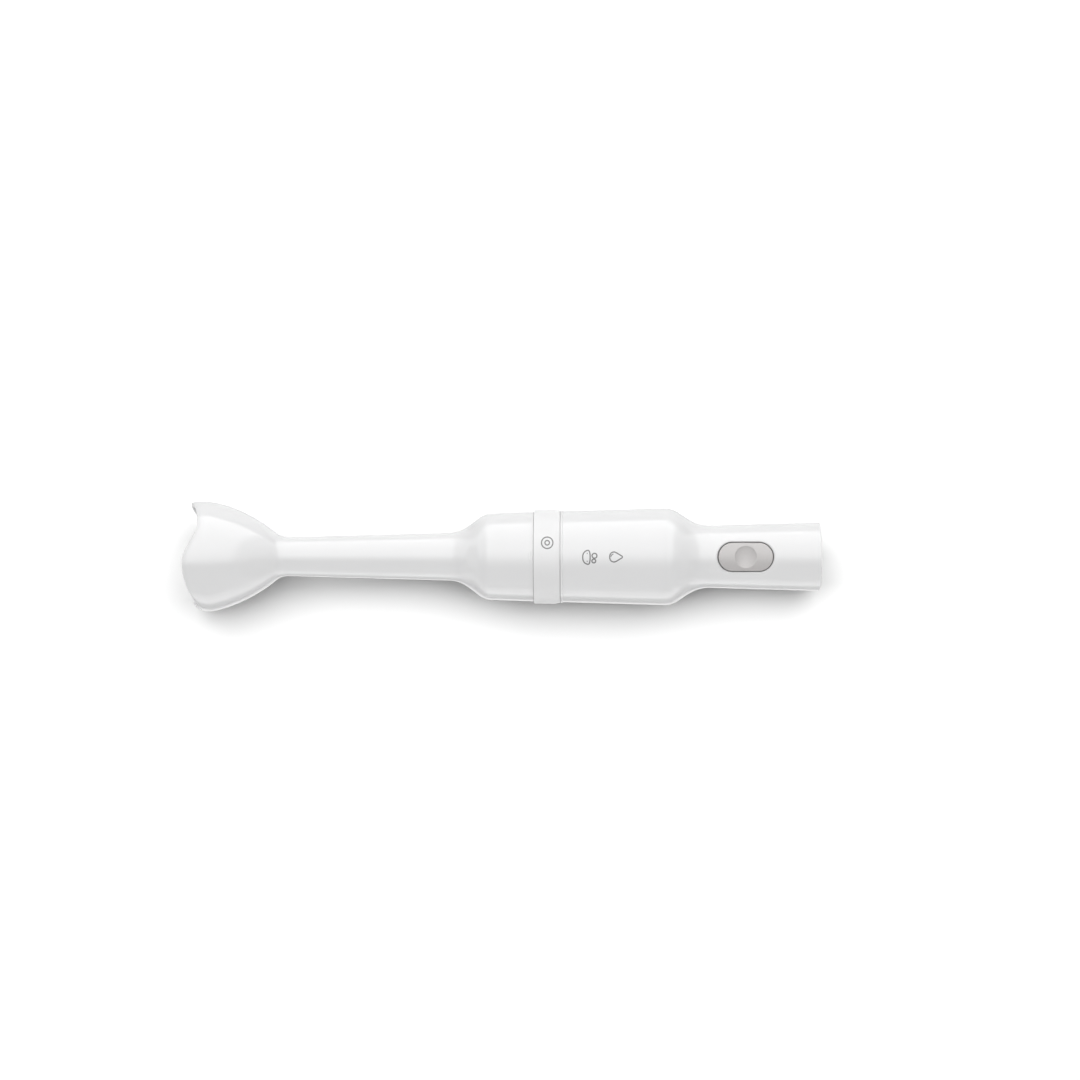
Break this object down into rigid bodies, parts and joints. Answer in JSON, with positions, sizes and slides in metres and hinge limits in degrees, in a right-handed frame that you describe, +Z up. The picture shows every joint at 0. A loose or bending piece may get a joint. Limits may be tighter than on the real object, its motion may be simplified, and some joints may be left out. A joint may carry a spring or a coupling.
{
  "type": "immersion blender",
  "caption": "Corded immersion blender lying down: round handle with thumb button, fatter motor body, banded joint, and a twist-off bar ending in a flared, scalloped bell over a bent blade.",
  "frame": {"origin": "on the table under the middle of the blender as it lies, button up, on the bell and on the flat of the rear shell", "axes": "+X from the bell to the handle's end, level with the table, +Z up through the button, +Y to the side; the blender's own axis drops 0.97 degrees towards the handle"},
  "size_m": [0.3706, 0.0645, 0.0649],
  "materials": {
    "white_plastic": "gloss",
    "collar_plastic": "satin",
    "button_rubber": "satin",
    "inner_plastic": "satin",
    "dark_plastic": "satin",
    "seal_rubber": "matte",
    "stainless_steel": "satin",
    "zinc_steel": "satin",
    "lamination_steel": "satin",
    "bronze": "satin",
    "copper": "satin",
    "ferrite": "matte",
    "carbon": "matte",
    "brass": "satin",
    "board": "satin",
    "yellow_plastic": "satin",
    "brown_insulation": "satin",
    "blue_insulation": "satin"
  },
  "bodies": {
    "motor_unit": {"front_shell": "white_plastic", "rear_shell": "white_plastic", "collar_band": "collar_plastic", "drive_socket": "inner_plastic", "end_cap": "white_plastic", "cord_gland": "seal_rubber", "housing_screw_front": "zinc_steel", "housing_screw_rear": "zinc_steel", "motor_can": "zinc_steel", "end_bell": "dark_plastic", "front_bearing": "stainless_steel", "rear_bearing": "bronze", "front_damper": "seal_rubber", "rear_damper": "seal_rubber", "magnet_upper": "ferrite", "magnet_lower": "ferrite", "brush_guide_left": "brass", "carbon_brush_left": "carbon", "brush_spring_left": "zinc_steel", "brush_guide_right": "brass", "carbon_brush_right": "carbon", "brush_spring_right": "zinc_steel", "return_spring": "stainless_steel", "microswitch": "dark_plastic", "circuit_board": "board", "bridge_rectifier": "dark_plastic", "suppression_capacitor": "yellow_plastic", "lead_wire_left": "brown_insulation", "lead_wire_right": "blue_insulation"},
    "rotor": {"motor_shaft": "zinc_steel", "armature_core": "lamination_steel", "armature_winding": "copper", "commutator": "copper", "cooling_fan": "dark_plastic", "motor_coupling": "dark_plastic"},
    "button": {"button_cap": "button_rubber", "button_carrier": "inner_plastic"},
    "switch_plunger": {"switch_plunger": "dark_plastic"},
    "bar_seal": {"face_seal": "seal_rubber"},
    "bar": {"bar_shell": "white_plastic", "bayonet_ring": "inner_plastic", "lower_bush": "bronze", "lip_seal": "seal_rubber", "seal_retainer": "stainless_steel", "upper_bearing_carrier": "inner_plastic", "upper_bush": "bronze"},
    "blade_drive": {"drive_shaft": "stainless_steel", "blade": "stainless_steel", "blade_cap_nut": "stainless_steel", "blade_spacer": "stainless_steel", "retaining_clip": "zinc_steel", "shaft_coupling": "dark_plastic"}
  },
  "joints": [
    {"name": "motor_spin", "type": "hinge", "parent": "motor_unit", "child": "rotor", "pos_m": [0.05499, 0, 0.02805], "axis": [0.9999, 0, -0.0169], "continuous": true},
    {"name": "button_press", "type": "slide", "parent": "motor_unit", "child": "button", "axis": [-0.0169, 0, -0.9999], "range_m": [0, 0.002], "stiffness_N_per_m": 1200, "springref_m": -0.001, "deforming": ["return_spring"]},
    {"name": "plunger_travel", "type": "slide", "parent": "motor_unit", "child": "switch_plunger", "axis": [-0.0169, 0, -0.9999], "range_m": [0, 0.002]},
    {"name": "bar_pull", "type": "slide", "parent": "motor_unit", "child": "bar_seal", "axis": [-0.9999, 0, 0.0169], "range_m": [0, 0.06]},
    {"name": "bar_twist", "type": "hinge", "parent": "bar_seal", "child": "bar", "pos_m": [0.005, 0, 0.0289], "axis": [0.9999, 0, -0.0169], "range_deg": [0, 30]},
    {"name": "blade_spin", "type": "hinge", "parent": "bar_seal", "child": "blade_drive", "pos_m": [-0.08499, 0, 0.03042], "axis": [0.9999, 0, -0.0169], "continuous": true}
  ],
  "couplings": [
    {"joint": "plunger_travel", "follows": "button_press", "ratio": 1},
    {"joint": "blade_spin", "follows": "motor_spin", "ratio": 1}
  ]
}
